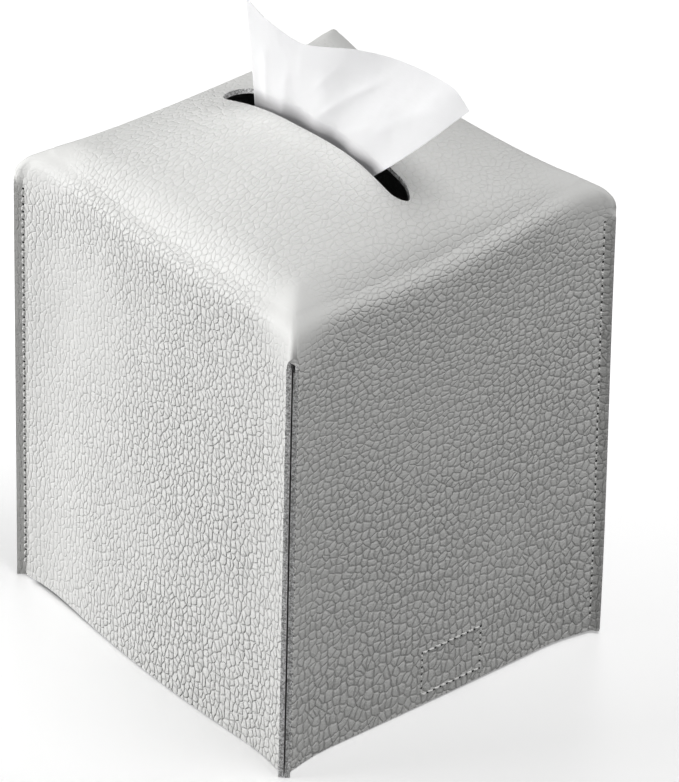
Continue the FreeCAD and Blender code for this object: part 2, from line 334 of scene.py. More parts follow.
def row_height(share):
    """Heights of the rows: wider apart below, closer round the folds."""
    if share < FINE_SHARE:
        return FINE_ROWS * share / FINE_SHARE
    return FINE_ROWS + (CORNER_HEIGHT - FINE_ROWS) * (share - FINE_SHARE) / (1 - FINE_SHARE)


def slot_shift(x, y):
    """Draws the grid lines round the slot onto its rounded ends and its leaning lips."""
    start = SLOT_HALF_LENGTH - SLOT_HALF_WIDTH
    radius = SLOT_HALF_WIDTH
    inner_x = clamp(x, -radius, radius)
    inner_y = clamp(abs(y) - start, 0.0, radius)
    round_x = inner_x * math.sqrt(1 - inner_y ** 2 / (2 * radius ** 2))
    round_y = inner_y * math.sqrt(1 - inner_x ** 2 / (2 * radius ** 2))
    away = math.hypot(x - inner_x, max(0.0, abs(y) - start - radius))
    fade = max(0.0, 1 - away / SLOT_EASE) ** 2
    x += (round_x - inner_x) * fade
    y += math.copysign(1, y) * (round_y - inner_y) * fade
    behind = smooth(x, -radius, radius) * (1 - smooth(x, radius, LEAN_REACH))
    before = smooth(-x, -radius, radius) * (1 - smooth(-x, radius, LEAN_REACH))
    tip = SLOT_HALF_LENGTH
    lean = BACK_LIP_LEAN * behind * (1 - smooth(abs(y), tip - 4, tip + 14))
    lean -= FRONT_LIP_LEAN * before * smooth(-y, -6, 26) * (1 - smooth(-y, tip, tip + FADE_LENGTH))
    y -= RIGHT_TIP_SHIFT * before * smooth(-y, 24, 36) * (1 - smooth(-y, tip, tip + FADE_LENGTH))
    left_tip = smooth(y, 20, tip) * (1 - smooth(y, tip, HALF_WIDTH))
    y -= LEFT_TIP_SHIFT * left_tip * (1 - smooth(abs(x), radius, 30))
    return x - lean, y


def hide_map(mesh, places):
    """A UV map in metres with the leather laid flat, as it was cut: the top in the middle, the
    walls round it."""
    uv_map = mesh.uv_layers.active or mesh.uv_layers.new()
    uv_map.name = "flat_hide"
    for loop in mesh.loops:
        uv_map.data[loop.index].uv = places[loop.vertex_index] * MM


def dress(piece, *materials):
    """Gives a piece its material, and one for the raw edges that its thickness adds."""
    for material in materials:
        piece.data.materials.append(material)


def cover_skin(name, cells):
    """The cover's outside as one open skin: a cube without its floor, slit at the seams, with its
    slot."""
    deselect()
    bpy.ops.mesh.primitive_cube_add(size=2, location=(0, 0, 0))
    piece = bpy.context.object
    piece.name = name
    edit(piece)
    bpy.ops.mesh.select_all(action="SELECT")
    bpy.ops.mesh.subdivide(number_cuts=cells - 1)
    bpy.ops.mesh.select_all(action="DESELECT")
    mesh = bmesh.from_edit_mesh(piece.data)
    across, along, slot_cells, tip_cells = grid_places(cells)
    half = cells // 2
    slot_x = slot_cells / half
    slot_y = 1 - tip_cells / half
    for face in mesh.faces:
        middle = face.calc_center_median()
        in_slot = middle.z > CUBE_FACE and abs(middle.x) < slot_x and abs(middle.y) < slot_y
        face.select_set(middle.z < -CUBE_FACE or in_slot)
    bpy.ops.mesh.delete(type="FACE")
    bpy.ops.mesh.select_all(action="DESELECT")
    mesh = bmesh.from_edit_mesh(piece.data)
    for edge in mesh.edges:
        ends = [vertex.co for vertex in edge.verts]
        at_corner = all(min(abs(end.x), abs(end.y)) > CUBE_FACE for end in ends)
        below = all(row_height((end.z + 1) / 2) < SLIT_TOP for end in ends)
        edge.select_set(at_corner and below)
    bpy.ops.mesh.edge_split(type="EDGE")
    leave_edit()

    mesh = piece.data
    names = {}
    for face in mesh.polygons:
        on_top = face.center.z > CUBE_FACE
        wall = "top" if on_top else max(WALLS, key=lambda key: face.center.dot(WALLS[key][0]))
        for index in face.vertices:
            # the upper edge of a wall belongs to the wall
            if on_top:
                names.setdefault(index, wall)
            else:
                names[index] = wall

    def place(value, places):
        number = round((value + 1) * half)
        from_corner = min(number, cells - number)
        return math.copysign(HALF_WIDTH - places[from_corner], value), places[from_corner]

    flats = {}
    rows = {}
    for vertex in mesh.vertices:
        x, x_place = place(vertex.co.x, across)
        y, y_place = place(vertex.co.y, along)
        z = row_height(round((vertex.co.z + 1) * half) / cells)
        wall = names[vertex.index]
        if wall == "top":
            x, y = slot_shift(x, y)
            flats[vertex.index] = Vector((x, y))
            vertex.co = cover_point("top", Vector((x, y, z)), 0, z)
            continue
        normal, direction = WALLS[wall]
        corner_place = y_place if abs(normal.x) > 0.5 else x_place
        run = Vector((x, y, 0)).dot(direction)
        flat = math.copysign(WALL_REACH - flat_place(corner_place), run)
        flats[vertex.index] = (normal * (HALF_WIDTH + CORNER_HEIGHT - z) + direction * flat).xy
        vertex.co = cover_point(wall, Vector((x, y, z)), flat, z)
    hide_map(mesh, flats)
    mesh.transform(Matrix.Scale(MM, 4))
    return piece


def make_leather():
    piece = cover_skin("pebbled_leather_cover", 88)
    dress(piece, LEATHER_FINISH, EDGE_FINISH)
    thicken(piece, LEATHER * MM, cut_edges=True)
    apply_modifiers(piece)
    shade(piece, 75)
    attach(piece, "cover")
    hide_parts("outer_leather")


def make_lining():
    piece = cover_skin("suede_lining", 44)
    dress(piece, SUEDE_FINISH, EDGE_FINISH)
    inset = piece.modifiers.new("behind_leather", "DISPLACE")
    inset.mid_level = 0
    inset.strength = -(LEATHER + LINING_GAP) * MM
    thicken(piece, (LINING - LINING_PRESS) * MM, cut_edges=True)
    apply_modifiers(piece)
    shade(piece, 75)
    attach(piece, "cover")
    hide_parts("inner_lining")


def one_stitch():
    """A short run of thread, arched, with its ends dipping into the leather."""
    deselect()
    bpy.ops.mesh.primitive_uv_sphere_add(segments=8, ring_count=7, radius=1)
    piece = bpy.context.object
    edit(piece)
    bpy.ops.mesh.select_all(action="SELECT")
    half_width = STITCH_WIDTH / 2 * MM
    half_length = STITCH_LENGTH / 2 * MM
    bpy.ops.transform.resize(value=(half_width, half_width, half_length))
    leave_edit()
    for vertex in piece.data.vertices:
        share = vertex.co.z / half_length
        # fuller towards its ends than a ball
        full = 1
        if abs(share) < 0.999:
            full = (1 - share ** 4) ** 0.5 / (1 - share ** 2) ** 0.5
        vertex.co.x *= full
        vertex.co.y = vertex.co.y * full - STITCH_DIP * MM * share ** 2
    # the needle hole between two stitches, a flat dimple of painted shade just under the thread
    deselect()
    bpy.ops.mesh.primitive_uv_sphere_add(segments=8, ring_count=5, radius=HOLE_RADIUS * MM)
    hole = bpy.context.object
    between_stitches = Matrix.Translation((0, -0.02 * MM, STITCH_PITCH / 2 * MM))
    hole.data.transform(between_stitches @ Matrix.Diagonal((1.0, 0.4, 1.15, 1)))
    for part in (piece, hole):
        dress(part, THREAD_FINISH, HOLE_SHADE_FINISH)
    for face in hole.data.polygons:
        face.material_index = 1
    piece = join([piece, hole], "stitch")
    shade(piece, 80)
    return piece


def stitched_row(places):
    """Stitches at (middle, along, outward) places, with small differences of hand."""
    pieces = []
    for middle, along, outward in places:
        across = outward.cross(along).normalized()
        outward = along.cross(across).normalized()
        turn = Matrix.Rotation(-math.radians(STITCH_TILT + random.uniform(-2, 2)), 4, "Y")
        basis = Matrix((across, outward, along)).transposed().to_4x4()
        copy = STITCH.copy()
        copy.data = STITCH.data.copy()
        place = Matrix.Translation(middle + outward * (STITCH_LIFT * MM))
        copy.data.transform(place @ basis @ turn)
        bpy.context.scene.collection.objects.link(copy)
        pieces.append(copy)
    return pieces


def on_wall(wall, flat, z):
    """Place, way up, way along and outward normal on the outside of a wall, in metres."""
    step = 0.5

    def at(flat, z):
        run = math.copysign(min(HALF_WIDTH, abs(flat)), flat)
        normal, along = WALLS[wall]
        upper = normal * HALF_WIDTH + along * run + Vector((0, 0, z))
        return cover_point(wall, upper, flat, z)

    middle = at(flat, z)
    up = (at(flat, z + step) - at(flat, z - step)).normalized()
    along = (at(flat + step, z) - at(flat - step, z)).normalized()
    return middle * MM, up, along, along.cross(up).normalized()


def make_corner_threads():
    """The saddle stitches of each corner, seen on both sides of its seam."""
    corners = {
        "front_left": (("left", 1), ("front", -1)),
        "front_right": (("front", 1), ("right", -1)),
        "back_right": (("right", 1), ("back", -1)),
        "back_left": (("back", 1), ("left", -1)),
    }
    count = int((THREAD_TOP - THREAD_LOW) / STITCH_PITCH)
    for corner, flanks in corners.items():
        places = []
        for wall, side in flanks:
            flat = side * (WALL_REACH - STITCH_MARGINS[corner])
            for number in range(count):
                z = THREAD_LOW + STITCH_PITCH * (number + 0.5)
                middle, up, _, outward = on_wall(wall, flat, z)
                places.append((middle, up, outward))
        piece = join(stitched_row(places), "saddle_stitches_" + corner)
        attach(piece, "cover")
        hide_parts("corner_thread_" + corner)


def make_box_stitch(wall, node, low, offset):
    """The rectangle of stitches through a strap's sewn end, outside and inside the wall."""
    width, height = BOX_STITCH
    corners = [
        (-width / 2, low), (width / 2, low),
        (width / 2, low + height), (-width / 2, low + height),
    ]
    depth = (LEATHER + LINING + TAB_THICKNESS) * MM
    places = []
    for start, end in zip(corners, corners[1:] + corners[:1]):
        length = math.dist(start, end)
        count = round(length / STITCH_PITCH)
        for number in range(count):
            share = (number + 0.5) / count
            u = start[0] + (end[0] - start[0]) * share + offset
            v = start[1] + (end[1] - start[1]) * share
            middle, up, along, outward = on_wall(wall, u, v)
            direction = up if abs(end[1] - start[1]) > 1 else along
            places.append((middle, direction, outward))
            places.append((middle - outward * depth, direction, -outward))
    piece = join(stitched_row(places), node + "_thread")
    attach(piece, "cover")
    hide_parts(node)


def strap_line(side, level):
    """Side view of a strap's middle layer, from the top of its tab round the fold to its tip."""
    wall = HALF_WIDTH - LEATHER - LINING
    tab = wall - TAB_THICKNESS / 2
    middle = level + STRAP_THICKNESS / 2
    bend = STRAP_BEND
    points = [(tab, level + TAB_HEIGHT - step) for step in TAB_ROWS]
    for number in range(FOLD_ROWS):
        angle = math.pi / 2 * number / (FOLD_ROWS - 1)
        points.append((tab - bend * (1 - math.cos(angle)), middle + bend * (1 - math.sin(angle))))
    run = tab - bend + STRAP_OVERLAP
    for number in range(1, RUN_ROWS + 1):
        points.append((tab - bend - run * number / RUN_ROWS, middle))
    return [Vector((0, side * y, z)) for y, z in points]


def make_strap(side, level, name, nodes):
    """A strap and its sewn tab as one piece of leather, folded at the wall."""
    line = strap_line(side, level)
    last = len(line) - 1
    deselect()
    bpy.ops.mesh.primitive_grid_add(x_subdivisions=STRAP_COLUMNS - 1, y_subdivisions=last, size=2)
    piece = bpy.context.object
    piece.name = name
    for vertex in piece.data.vertices:
        row = round((vertex.co.y + 1) / 2 * last)
        x_share = vertex.co.x
        base = line[row]
        left = (line[-1] - base).length
        half = STRAP_WIDTH / 2
        if left < TIP_ROUND:
            half -= TIP_ROUND - math.sqrt(max(0, TIP_ROUND ** 2 - (TIP_ROUND - left) ** 2))
        lift = 0
        if row > len(TAB_ROWS) + FOLD_ROWS:
            lift = STRAP_WAVE * math.sin(base.y / STRAP_WAVE_LENGTH + side) * x_share
        vertex.co = soft(Vector((STRAP_OFFSET + half * x_share, base.y, base.z + lift)))
    points = [vertex.co for vertex in piece.data.vertices]
    hide_map(piece.data, [Vector((point.x, point.y - point.z - HIDE_SHIFT)) for point in points])
    dress(piece, LEATHER_FINISH, EDGE_FINISH)
    piece.data.transform(Matrix.Scale(MM, 4))
    edit(piece)
    bpy.ops.mesh.select_all(action="SELECT")
    bpy.ops.mesh.normals_make_consistent(inside=False)
    leave_edit()
    thicken(piece, STRAP_THICKNESS * MM * 0.9, offset=0, cut_edges=True)
    finer = piece.modifiers.new("finer", "SUBSURF")
    finer.subdivision_type = "SIMPLE"
    finer.levels = finer.render_levels = 1
    bevel = piece.modifiers.new("worn_edges", "BEVEL")
    bevel.width = 0.15 * MM
    bevel.segments = 2
    bevel.limit_method = "ANGLE"
    bevel.angle_limit = math.radians(50)
    apply_modifiers(piece)
    shade(piece, 50)
    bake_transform(piece)
    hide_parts(*nodes)


def make_tape(side, low, name, body, node, facing, finish):
    """Hook or loop tape with its pile and its sewn border."""
    half_width = TAPE_WIDTH / 2
    half_length = TAPE_LENGTH / 2
    tip = -side * (STRAP_OVERLAP - TAPE_INSET)
    middle_y = tip + side * TAPE_LENGTH / 2
    columns, rows = TAPE_CELLS
    deselect()
    bpy.ops.mesh.primitive_grid_add(x_subdivisions=columns, y_subdivisions=rows, size=2)
    piece = bpy.context.object
    piece.name = name
    for vertex in piece.data.vertices:
        x_share, y_share = vertex.co.x, vertex.co.y
        edge = min((1 - abs(x_share)) * half_width, (1 - abs(y_share)) * half_length)
        pile = PILE * smooth(edge, *TAPE_BORDER) * (0.7 + 0.6 * random.random())
        spot = Vector((STRAP_OFFSET + x_share * half_width, middle_y + y_share * half_length, 0))
        spot.z = low + TAPE_THICKNESS / 2 + facing * (TAPE_THICKNESS / 2 - 0.2 + pile * 0.9)
        vertex.co = soft(spot)
    piece.data.transform(Matrix.Scale(MM, 4))
    if facing < 0:
        edit(piece)
        bpy.ops.mesh.select_all(action="SELECT")
        bpy.ops.mesh.flip_normals()
        leave_edit()
    dress(piece, finish)
    thicken(piece, (TAPE_THICKNESS - 0.25) * MM)
    apply_modifiers(piece)
    shade(piece, 60)
    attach(piece, body)
    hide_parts(node)


# Tissue, in mm: its upper edge, with heights over the corners of the cover
TISSUE_TAIL = 18.0
TISSUE_SHEET = (-3.9, 12.2)  # its left side's place across the slot, and how far it leans over
TISSUE_FLAT = (0.104, 0.066)   # the modelled part laid flat, in metres
TISSUE_PLY = 0.22
TISSUE_CELLS = (120, 84)
LIP_LEVEL = CORNER_HEIGHT + 7.6
LIP_LEFT = 24.0              # its left side between the lips
LIP_SPAN = 53.1
TAIL_SHARE = 0.3             # of its length lies under the lips
LEAF_SPAN = (85, 36)         # width and height that the creases are measured on
SWING = 0.8                  # share of the folds' depth
TISSUE_TOP = [
    (0.0, 28.9, 41.0),
    (0.08, 22.6, 37.3),
    (0.17, 14.6, 34.9),
    (0.26, 7.0, 34.0),
    (0.36, -1.5, 36.3),
    (0.48, -11.4, 39.9),
    (0.59, -20.4, 42.4),
    (0.69, -28.8, 43.9),
    (0.79, -37.8, 44.4),
    (0.88, -46.1, 44.0),
    (0.935, -50.4, 42.9),
    (0.97, -53.3, 40.6),
    (1.0, -55.9, 38.0),
]
# Soft creases of the leaf: start and end as (across, up) shares, half width in mm and depth in mm
TISSUE_CREASES = [
    ((0.10, 0.0), (0.09, 0.75), 3.4, 1.1),
    ((0.23, 0.0), (0.22, 0.65), 4.5, 0.6),
    ((0.42, 0.10), (0.72, 0.85), 3.6, 0.8),
    ((0.38, 0.45), (0.48, 0.85), 3.0, 0.4),
    ((0.62, 0.10), (0.80, 0.42), 4.0, 0.5),
    ((0.80, 0.30), (0.95, 0.85), 5.0, 0.5),
]
# folds swing this way, so that the edges keep their outline in the photo
ALONG_VIEW = Vector((1.0, 1.13, -1.02))


def between(table, share):
    """Smooth place in a table of (share, y, z) rows."""
    for number, (first, second) in enumerate(zip(table, table[1:])):
        if share <= second[0]:
            gap = second[0] - first[0]
            part = (share - first[0]) / gap
            before = table[max(0, number - 1)]
            after = table[min(len(table) - 1, number + 2)]
            values = []
            for axis in (1, 2):
                start = (second[axis] - before[axis]) / (second[0] - before[0]) * gap
                end = (after[axis] - first[axis]) / (after[0] - first[0]) * gap
                cube, square = part ** 3, part ** 2
                from_first = (2 * cube - 3 * square + 1) * first[axis] + (cube - 2 * square + part) * start
                from_second = (3 * square - 2 * cube) * second[axis] + (cube - square) * end
                values.append(from_first + from_second)
            return values
    return list(table[-1][1:])


def tissue_crease(u, rise):
    """How deep the creases are at a place of the leaf."""
    width, height = LEAF_SPAN
    place = Vector((u * width, rise * height))
    depth = 0.0
    for start, end, half_width, crease_depth in TISSUE_CREASES:
        first = Vector((start[0] * width, start[1] * height))
        run = Vector((end[0] * width, end[1] * height)) - first
        share = clamp((place - first).dot(run) / run.length_squared)
        away = (place - first - run * share).length / half_width
        fade = smooth(share, -0.01, 0.25) * (1 - smooth(share, 0.75, 1.01))
        depth += crease_depth * fade * math.exp(-1.6 * away) * (1 - math.exp(-6 * away) * 0.3)
    return depth


def tissue_point(u, v):
    """The leaf: u runs from its left side to its right, v from its tail in the slot to its top."""
    tail_level = CORNER_HEIGHT - TISSUE_TAIL
    top_y, top_z = between(TISSUE_TOP, u)
    lip_y = LIP_LEFT - LIP_SPAN * u
    near, lean = TISSUE_SHEET
    if v < TAIL_SHARE:
        share = v / TAIL_SHARE
        y = lip_y * (0.93 + 0.07 * share)
        point = Vector((near, y, tail_level + (LIP_LEVEL - tail_level) * share))
        rise = 0.0
    else:
        rise = (v - TAIL_SHARE) / (1 - TAIL_SHARE)
        bend = rise + 0.10 * math.sin(math.pi * rise) * (u - 0.5)
        x = near + lean * u * (0.35 * rise + 0.65 * rise ** 2)
        y = lip_y + (top_y - lip_y) * bend
        point = Vector((x, y, LIP_LEVEL + (CORNER_HEIGHT + top_z - LIP_LEVEL) * rise))
    # small pleats at the lips, one wave and a roll higher up, each with its depth in mm
    pleat = 0.9 * math.sin(u * 21.0 + 0.6) * math.exp(-3.0 * rise) * smooth(v, 0.0, TAIL_SHARE)
    wave = -2.6 * math.sin(u * 2 * math.pi) * smooth(rise)
    roll = 0.7 * math.sin(u * 11.0 + 0.8 - rise * 1.1) * smooth(rise) * (1 - 0.5 * rise)
    # clear of the lip that leans in
    clear = 2.2 * smooth(u, 0.3, 0.95) * (1 - smooth(rise, 0.0, 0.7))
    swing = pleat + wave + roll + clear - tissue_crease(u, rise) * smooth(rise, 0.0, 0.1)
    return point + ALONG_VIEW * swing * SWING


def make_tissue():
    columns, rows = TISSUE_CELLS
    deselect()
    bpy.ops.mesh.primitive_grid_add(x_subdivisions=columns, y_subdivisions=rows, size=2)
    piece = bpy.context.object
    piece.name = "tissue_leaf"
    for vertex in piece.data.vertices:
        u, v = (vertex.co.x + 1) / 2, (vertex.co.y + 1) / 2
        point = tissue_point(u, v)
        wrinkle = noise.fractal(Vector((point.y * 0.08, point.z * 0.06, 3.1)), 0.9, 2.1, 3)
        point += ALONG_VIEW * 0.35 * wrinkle * smooth(v, 0.3, 0.7)
        vertex.co = point
    piece.data.transform(Matrix.Scale(MM, 4))
    dress(piece, TISSUE_FINISH)
    thicken(piece, TISSUE_PLY * MM, offset=0)
    apply_modifiers(piece)
    shade(piece, 75)
    area = sum(face.area for face in piece.data.polygons) / 2
    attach(piece, "tissue_leaf")
    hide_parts("tissue")
    width, length = TISSUE_FLAT
    area = min(area, width * length)


# Materials: the size of each pattern's grain in mm
PEBBLE = 2.15
PEBBLE_WARP = 3.84615
PEBBLE_DEPTH = 1.25
PORES = 0.666667
HIDE_PATCHES = 47.619
HIDE_WAVES = 26.3158
FIBRES = 0.769231
SUEDE_NAP = 1.11111
SUEDE_BRUSHING = 22.2222
CREPE = 1.11111
SOFT_STEP = {"interpolation_type": "SMOOTHSTEP"}
FOOT_SHADE = (0.1725, 0.1785)   # heights in m between which the lips' shade on the leaf ends
CROWN_FALL = 4.7             # how these fall with the square of the way along the slot, in m


def linear(hex_colour):
    """sRGB hex to the linear colour that the shader works in."""
    values = [int(hex_colour[place:place + 2], 16) / 255 for place in (1, 3, 5)]
    values = [value / 12.92 if value <= 0.04045 else ((value + 0.055) / 1.055) ** 2.4 for value in values]
    return (*values, 1)


def add(tree, kind, links=None, stops=(), **settings):
    """Adds a node. Its links are values, sockets or nodes, of which the first output is meant, for
    its inputs, and stops are the places and hex colours of a ramp."""
    node = tree.nodes.new("ShaderNode" + kind)
    for name, value in settings.items():
        setattr(node, name, value)
    for name, value in (links or {}).items():
        if isinstance(value, bpy.types.Node):
            value = value.outputs[0]
        if isinstance(value, bpy.types.NodeSocket):
            tree.links.new(value, node.inputs[name])
        else:
            node.inputs[name].default_value = value
    for number, (position, hex_colour) in enumerate(stops):
        element = node.color_ramp.elements[number]
        element.position = position
        element.color = linear(hex_colour)
    return node


def new_material(name):
    material = bpy.data.materials.new(name)
    material.use_nodes = True
    material.node_tree.nodes.clear()
    return material, material.node_tree


def surfaced(material, links):
    """Ends a material with its surface, from links and from values that are the same all over."""
    tree = material.node_tree
    add(tree, "OutputMaterial", {"Surface": add(tree, "BsdfPrincipled", links)})
    return material


def pebbled_leather():
    """Pigmented leather plated with a pebble grain: soft satin pebbles, smoother where it is
    stretched."""
    material, tree = new_material("pebbled_pigmented_leather")
    hide = add(tree, "UVMap", uv_map="flat_hide")
    # the grain of a hide is finer towards its flank and drawn out along its length
    near = add(tree, "VectorMath", {0: hide, 1: (0.06, 0.06, 0.0)})
    square = add(tree, "VectorMath", {0: near, 1: near}, operation="MULTIPLY")
    links = {0: square, 1: (0.4, 1.3, 0.0), 2: near}
    finer = add(tree, "VectorMath", links, operation="MULTIPLY_ADD")
    drawn = add(tree, "VectorMath", {0: finer, 1: (0.82, 1.05, 1.0)}, operation="MULTIPLY")
    # pebbles of uneven outline
    links = {"Vector": drawn, "Scale": 1 / (PEBBLE_WARP * MM), "Detail": 2.0}
    warp = add(tree, "TexNoise", links, noise_dimensions="2D")
    links = {0: warp.outputs["Color"], 1: (0.5, 0.5, 0.5)}
    centred = add(tree, "VectorMath", links, operation="SUBTRACT")
    pushed = add(tree, "VectorMath", {0: centred, "Scale": 1.5 * MM}, operation="SCALE")
    bent = add(tree, "VectorMath", {0: drawn, 1: pushed})
    links = {"Vector": bent, "Scale": 1 / (PEBBLE * MM), "Randomness": 0.8}
    edge = add(tree, "TexVoronoi", links, feature="DISTANCE_TO_EDGE", voronoi_dimensions="2D")
    cells = add(tree, "TexVoronoi", links, feature="F1", voronoi_dimensions="2D")
    cells = add(tree, "Math", {0: cells, 1: cells}, operation="MULTIPLY")
    crease = add(tree, "MapRange", {0: edge, 2: 0.1}, **SOFT_STEP)
    flank = add(tree, "MapRange", {0: edge, 2: 0.2}, **SOFT_STEP)
    noises = []
    for grain, detail in ((PORES, 3.0), (HIDE_PATCHES, 2.0), (HIDE_WAVES, 1.0)):
        links = {"Vector": hide, "Scale": 1 / (grain * MM), "Detail": detail}
        noises.append(add(tree, "TexNoise", links, noise_dimensions="2D"))
    pores, patches, waves = noises
    height = 1.0
    for value, share in ((cells, -0.42), (flank, 0.2), (crease, 0.08), (pores, 0.2)):
        height = add(tree, "Math", {0: value, 1: share, 2: height}, operation="MULTIPLY_ADD")

    # where a place lies on the flat hide, and how far from the middle of the top and its corners
    place = add(tree, "SeparateXYZ", {0: hide})
    quarter = add(tree, "VectorMath", {0: hide}, operation="ABSOLUTE")
    sides = add(tree, "SeparateXYZ", {0: quarter})
    links = {0: sides.outputs["X"], 1: sides.outputs["Y"]}
    lesser = add(tree, "Math", links, operation="MINIMUM")
    greater = add(tree, "Math", links, operation="MAXIMUM")
    links = {0: quarter, 1: (HALF_WIDTH * MM, HALF_WIDTH * MM, 0)}
    corner = add(tree, "VectorMath", links, operation="DISTANCE").outputs["Value"]
    fin_top = HALF_WIDTH + CORNER_HEIGHT - SLIT_TOP
    # each fade's value, the two places in mm between which it changes, and its ends
    fades = {
        "raw edge": (lesser, WALL_REACH - 1.2, WALL_REACH - 0.3, 1.0, 0.6),
        "top": (greater, HALF_WIDTH - 4, HALF_WIDTH + 16, 0.32, 0.85),
        "wall": (greater, HALF_WIDTH + 20, HALF_WIDTH + 130, 0.0, 0.3),
        "corner": (corner, 8, 26, 0.08, 1.0),
        "far": (place.outputs["Y"], -10, 55, 0.0, 1.0),
        "left": (place.outputs["X"], -HALF_WIDTH - 40, 5 - HALF_WIDTH, 0.6, 0.0),
        "past stitches": (lesser, WALL_REACH - 3.1, WALL_REACH - 2.3, 0.0, 0.8),
        "on fins": (greater, fin_top + 1, fin_top + 5, 0.0, 1.0),
    }
    for name, (value, low, high, start, end) in fades.items():
        links = {0: value, 1: low * MM, 2: high * MM, 3: start, 4: end}
        fades[name] = add(tree, "MapRange", links, **SOFT_STEP)
    # it is drawn tight over the top, over its corners and along the seams, which flattens the
    # grain, and one flank of the hide is smoother than the rest
    flatter = add(tree, "Math", {0: fades["far"], 1: fades["left"]}, operation="MULTIPLY")
    rest = add(tree, "Math", {0: 1.0, 1: flatter}, operation="SUBTRACT")
    uneven = add(tree, "MapRange", {0: patches, 1: 0.3, 2: 0.6, 3: 0.75, 4: 1.1})
    depth = add(tree, "Math", {0: fades["top"], 1: fades["wall"]})
    for fade in (fades["raw edge"], rest, fades["corner"], uneven):
        depth = add(tree, "Math", {0: depth, 1: fade}, operation="MULTIPLY")
    height = add(tree, "Math", {0: height, 1: depth}, operation="MULTIPLY")
    grain = add(tree, "Bump", {"Height": height, "Strength": 1.0, "Distance": PEBBLE_DEPTH * MM})
    links = {"Height": waves, "Strength": 0.5, "Distance": 2.0 * MM, "Normal": grain}
    bump = add(tree, "Bump", links)

    # painted shade darkens the creases, and painted shade darkens the flanks outside the stitches
    tone = add(tree, "ValToRGB", {0: patches}, [(0.3, "#e2e2e0"), (0.7, "#e6e6e4")])
    # painted shade in the creases of the grain
    painted_crease_shade = add(tree, "Math", {0: 1.0, 1: crease}, operation="SUBTRACT")
    painted_crease_shade = add(tree, "Math", {0: painted_crease_shade, 1: depth}, operation="MULTIPLY")
    painted_crease_shade = add(tree, "Math", {0: painted_crease_shade, 1: 0.08}, operation="MULTIPLY")
    # painted shade on the flanks outside the stitches, which turn away from the light
    painted_flank_shade = add(tree, "Math", {0: fades["past stitches"], 1: fades["on fins"]}, operation="MULTIPLY")
    for share, hex_colour in ((painted_crease_shade, "#8e8e8d"), (painted_flank_shade, "#c4c4c2")):
        links = {0: share, 6: tone, 7: linear(hex_colour)}
        tone = add(tree, "Mix", links, data_type="RGBA").outputs[2]
    roughness = add(tree, "MapRange", {0: crease, 3: 0.75, 4: 0.55})
    return surfaced(material, {"Base Color": tone, "Roughness": roughness, "Normal": bump, "IOR": 1.46})


def fibrous(name, kind, pattern, stops, relief, inputs, output="Fac", **settings):
    """A material whose colour and relief, as strength and mm, follow one texture."""
    material, tree = new_material(name)
    place = add(tree, "TexCoord").outputs["Object"]
    value = add(tree, kind, {"Vector": place, **pattern}, **settings).outputs[output]
    tone = add(tree, "ValToRGB", {0: value}, stops)
    bump = add(tree, "Bump", {"Height": value, "Strength": relief[0], "Distance": relief[1] * MM})
    return surfaced(material, {"Base Color": tone, "Normal": bump, **inputs})


def raw_edge():
    """The cut edge of leather and backing: pale fibres, matt and a little fluffy."""
    pattern = {"Scale": 1 / (FIBRES * MM), "Detail": 4.0, "Roughness": 0.8}
    stops = [(0.4, "#8a8a89"), (0.6, "#ffffff")]
    inputs = {"Roughness": 0.95, "IOR": 1.4}
    return fibrous("raw_leather_edge", "TexNoise", pattern, stops, (1.0, 0.35), inputs)


def waxed_thread():
    """Waxed polyester thread: two plies laid in a twist of about 0.5 mm, with a dull shine."""
    pattern = {"Scale": 640.0, "Distortion": 1.0}   # a band of this texture is 0.57 mm wide
    stops = [(0.2, "#dcdcda"), (0.8, "#fafaf8")]
    inputs = {"Roughness": 0.55}
    name = "waxed_polyester_thread"
    return fibrous(name, "TexWave", pattern, stops, (0.7, 0.08), inputs, bands_direction="DIAGONAL")


def nylon_tape(name, dark, pale, cell):
    """Nylon hook and loop tape: rows of tiny hooks or a felted pile, matt with bright tips."""
    pattern = {"Scale": 1 / (cell * MM)}
    stops = [(0.1, pale), (0.7, dark)]
    inputs = {"Roughness": 0.7}
    return fibrous(name, "TexVoronoi", pattern, stops, (1.0, -0.4), inputs, output="Distance")


def needle_hole_shade():
    """Painted shade of a needle hole in leather, at the end of every stitch."""
    material, _ = new_material("painted_needle_hole_shade")
    return surfaced(material, {"Base Color": linear("#1d1d1d"), "Roughness": 1.0})


def suede():
    """Split suede backing: a short nap, matt, with lighter and darker brushed patches."""
    material, tree = new_material("brushed_suede_backing")
    place = add(tree, "TexCoord").outputs["Object"]
    links = {"Vector": place, "Scale": 1 / (SUEDE_NAP * MM), "Detail": 5.0, "Roughness": 0.75}
    nap = add(tree, "TexNoise", links)
    links = {"Vector": place, "Scale": 1 / (SUEDE_BRUSHING * MM), "Detail": 2.0, "Distortion": 0.8}
    brushed = add(tree, "TexNoise", links)
    both = add(tree, "Math", {0: brushed, 1: 0.6, 2: nap}, operation="MULTIPLY_ADD")
    return surfaced(material, {
        "Base Color": add(tree, "ValToRGB", {0: both}, [(0.55, "#777776"), (0.95, "#9b9b9a")]),
        "Normal": add(tree, "Bump", {"Height": nap, "Strength": 0.8, "Distance": 0.25 * MM}),
        "Roughness": 0.95, "Sheen Weight": 0.4, "Sheen Roughness": 0.5,
    })


